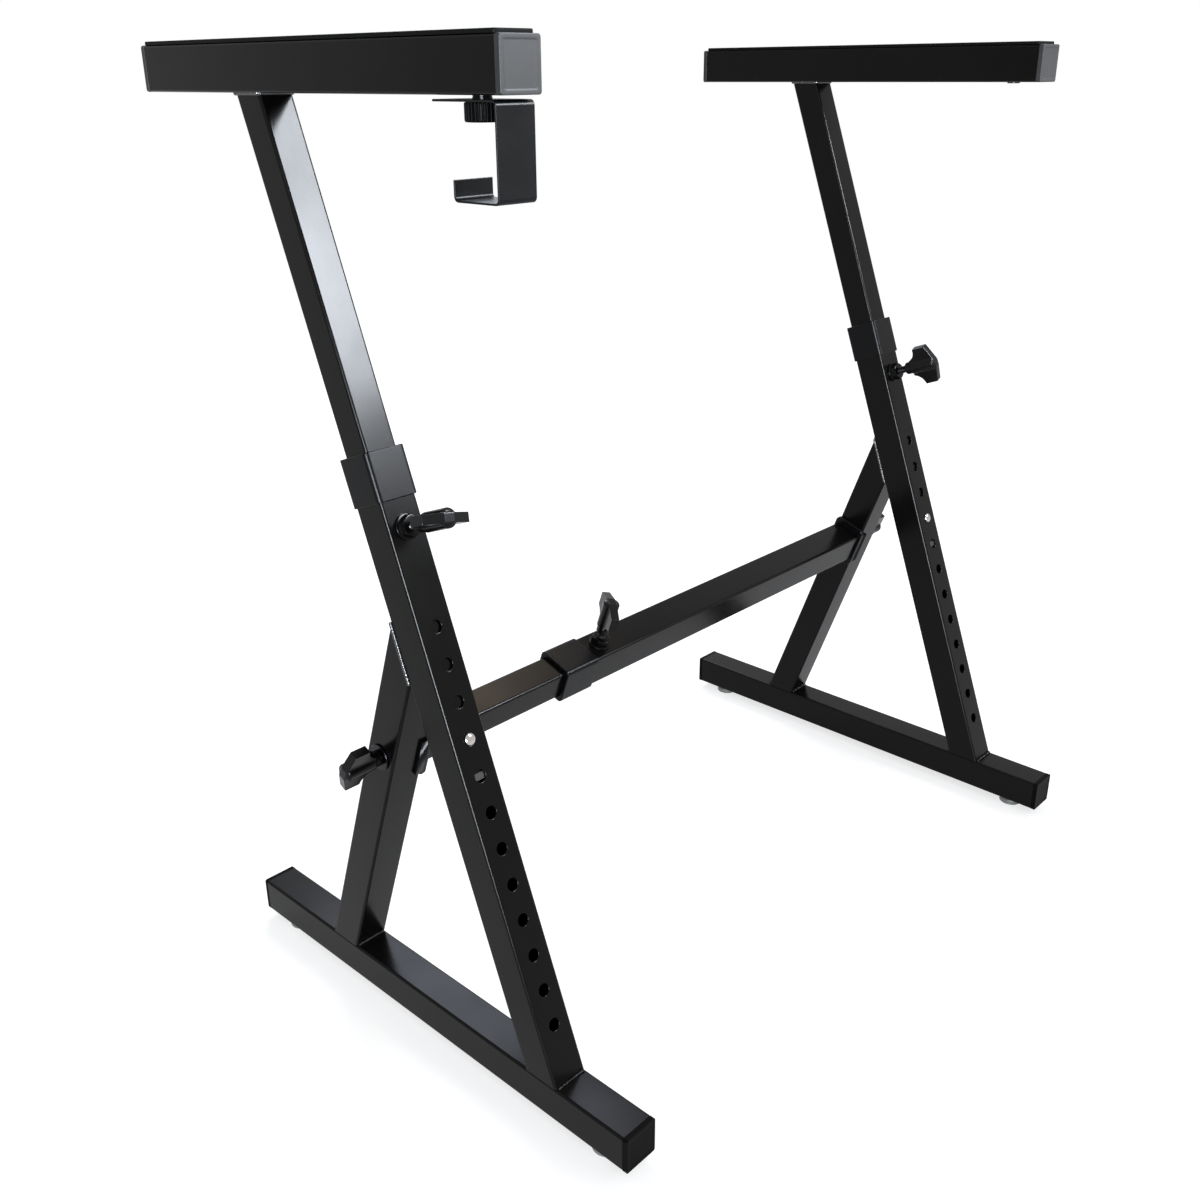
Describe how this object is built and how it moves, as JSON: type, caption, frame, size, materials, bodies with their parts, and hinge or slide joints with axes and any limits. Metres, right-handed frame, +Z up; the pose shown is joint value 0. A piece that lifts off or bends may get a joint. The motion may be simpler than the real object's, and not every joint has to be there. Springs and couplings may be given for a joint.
{
  "type": "keyboard stand",
  "caption": "Height and width adjustable keyboard stand with Z-shaped welded square-tube side frames, a telescoping crossbar, level rubber-topped arms, wing knobs and an accessory hook.",
  "frame": {"origin": "on the floor, under the centre of the stand's bounding box", "axes": "+X toward the right side frame, +Y toward the rear, +Z up"},
  "size_m": [0.8442, 0.5348, 0.854],
  "materials": {
    "powder_coat": "satin to semi-gloss black powder coat",
    "black_plastic": "satin moulded plastic",
    "pad_rubber": "matt black rubber",
    "glide_rubber": "matt light grey rubber",
    "button_chrome": "polished",
    "black_zinc": "black zinc plated, glossy",
    "spring_steel": "bright zinc plated"
  },
  "bodies": {
    "left_frame": {"left_foot_tube": "powder_coat", "left_foot_cap_front": "black_plastic", "left_foot_cap_rear": "black_plastic", "left_glide_front": "glide_rubber", "left_glide_rear": "glide_rubber", "left_leg_tube": "powder_coat", "left_leg_collar": "black_plastic", "left_brace_tube": "powder_coat", "left_height_nut": "powder_coat", "left_bar_saddle": "black_plastic", "left_bar_washer": "black_zinc", "crossbar_inner_tube": "powder_coat", "crossbar_guide": "black_plastic"},
    "right_frame": {"right_foot_tube": "powder_coat", "right_foot_cap_front": "black_plastic", "right_foot_cap_rear": "black_plastic", "right_glide_front": "glide_rubber", "right_glide_rear": "glide_rubber", "right_leg_tube": "powder_coat", "right_leg_collar": "black_plastic", "right_brace_tube": "powder_coat", "right_height_nut": "powder_coat", "right_bar_saddle": "black_plastic", "right_bar_washer": "black_zinc", "crossbar_outer_tube": "powder_coat", "crossbar_collar": "black_plastic", "width_nut": "powder_coat"},
    "left_post": {"left_post_tube": "powder_coat", "left_post_guide": "black_plastic", "left_snap_spring": "spring_steel", "left_arm_tube": "powder_coat", "left_arm_cap_front": "black_plastic", "left_arm_cap_rear": "black_plastic", "left_arm_pad": "pad_rubber", "left_arm_insert": "black_zinc", "hook_spacer": "powder_coat"},
    "left_button": {"left_snap_button": "button_chrome"},
    "left_height_clamp": {"left_height_knob": "black_plastic", "left_height_screw": "black_zinc"},
    "left_bar_clamp": {"left_bar_knob": "black_plastic", "left_bar_screw": "black_zinc"},
    "right_post": {"right_post_tube": "powder_coat", "right_post_guide": "black_plastic", "right_snap_spring": "spring_steel", "right_arm_tube": "powder_coat", "right_arm_cap_front": "black_plastic", "right_arm_cap_rear": "black_plastic", "right_arm_pad": "pad_rubber", "right_arm_insert": "black_zinc"},
    "right_button": {"right_snap_button": "button_chrome"},
    "right_height_clamp": {"right_height_knob": "black_plastic", "right_height_screw": "black_zinc"},
    "right_bar_clamp": {"right_bar_knob": "black_plastic", "right_bar_screw": "black_zinc"},
    "width_clamp": {"width_knob": "black_plastic", "width_screw": "black_zinc"},
    "hook": {"hook_strap": "powder_coat"},
    "hook_clamp": {"hook_thumb_knob": "black_plastic", "hook_screw": "black_zinc"}
  },
  "joints": [
    {"name": "width_slide", "type": "slide", "parent": "left_frame", "child": "right_frame", "axis": [1, 0, 0], "range_m": [-0.16, 0.12]},
    {"name": "left_height_slide", "type": "slide", "parent": "left_frame", "child": "left_post", "axis": [0, 0.3518, 0.9361], "range_m": [-0.256, 0.096], "deforming": ["left_snap_button", "left_snap_spring"]},
    {"name": "left_button_press", "type": "slide", "parent": "left_post", "child": "left_button", "axis": [0, 0.9361, -0.3518], "range_m": [0, 0.005], "stiffness_N_per_m": 1500, "springref_m": -0.003, "deforming": ["left_snap_spring"]},
    {"name": "left_height_knob_turn", "type": "hinge", "parent": "left_frame", "child": "left_height_clamp", "pos_m": [-0.365, -0.01638, 0.49947], "axis": [0, -0.9361, 0.3518], "continuous": true},
    {"name": "left_bar_knob_turn", "type": "hinge", "parent": "left_frame", "child": "left_bar_clamp", "pos_m": [-0.4015, 0.02141, 0.28328], "axis": [1, 0, 0], "continuous": true},
    {"name": "right_height_slide", "type": "slide", "parent": "right_frame", "child": "right_post", "axis": [0, 0.3518, 0.9361], "range_m": [-0.256, 0.096], "deforming": ["right_snap_button", "right_snap_spring"]},
    {"name": "right_button_press", "type": "slide", "parent": "right_post", "child": "right_button", "axis": [0, 0.9361, -0.3518], "range_m": [0, 0.005], "stiffness_N_per_m": 1500, "springref_m": -0.003, "deforming": ["right_snap_spring"]},
    {"name": "right_height_knob_turn", "type": "hinge", "parent": "right_frame", "child": "right_height_clamp", "pos_m": [0.365, -0.01638, 0.49947], "axis": [0, -0.9361, 0.3518], "continuous": true},
    {"name": "right_bar_knob_turn", "type": "hinge", "parent": "right_frame", "child": "right_bar_clamp", "pos_m": [0.4015, 0.02141, 0.28328], "axis": [1, 0, 0], "continuous": true},
    {"name": "width_knob_turn", "type": "hinge", "parent": "right_frame", "child": "width_clamp", "pos_m": [-0.111, 0.01554, 0.29977], "axis": [0, -0.3355, 0.9421], "continuous": true},
    {"name": "hook_swivel", "type": "hinge", "parent": "left_post", "child": "hook", "pos_m": [-0.365, -0.12662, 0.8131], "axis": [0, 0, 1], "continuous": true},
    {"name": "hook_knob_turn", "type": "hinge", "parent": "left_post", "child": "hook_clamp", "pos_m": [-0.365, -0.12662, 0.806], "axis": [0, 0, 1], "continuous": true}
  ]
}
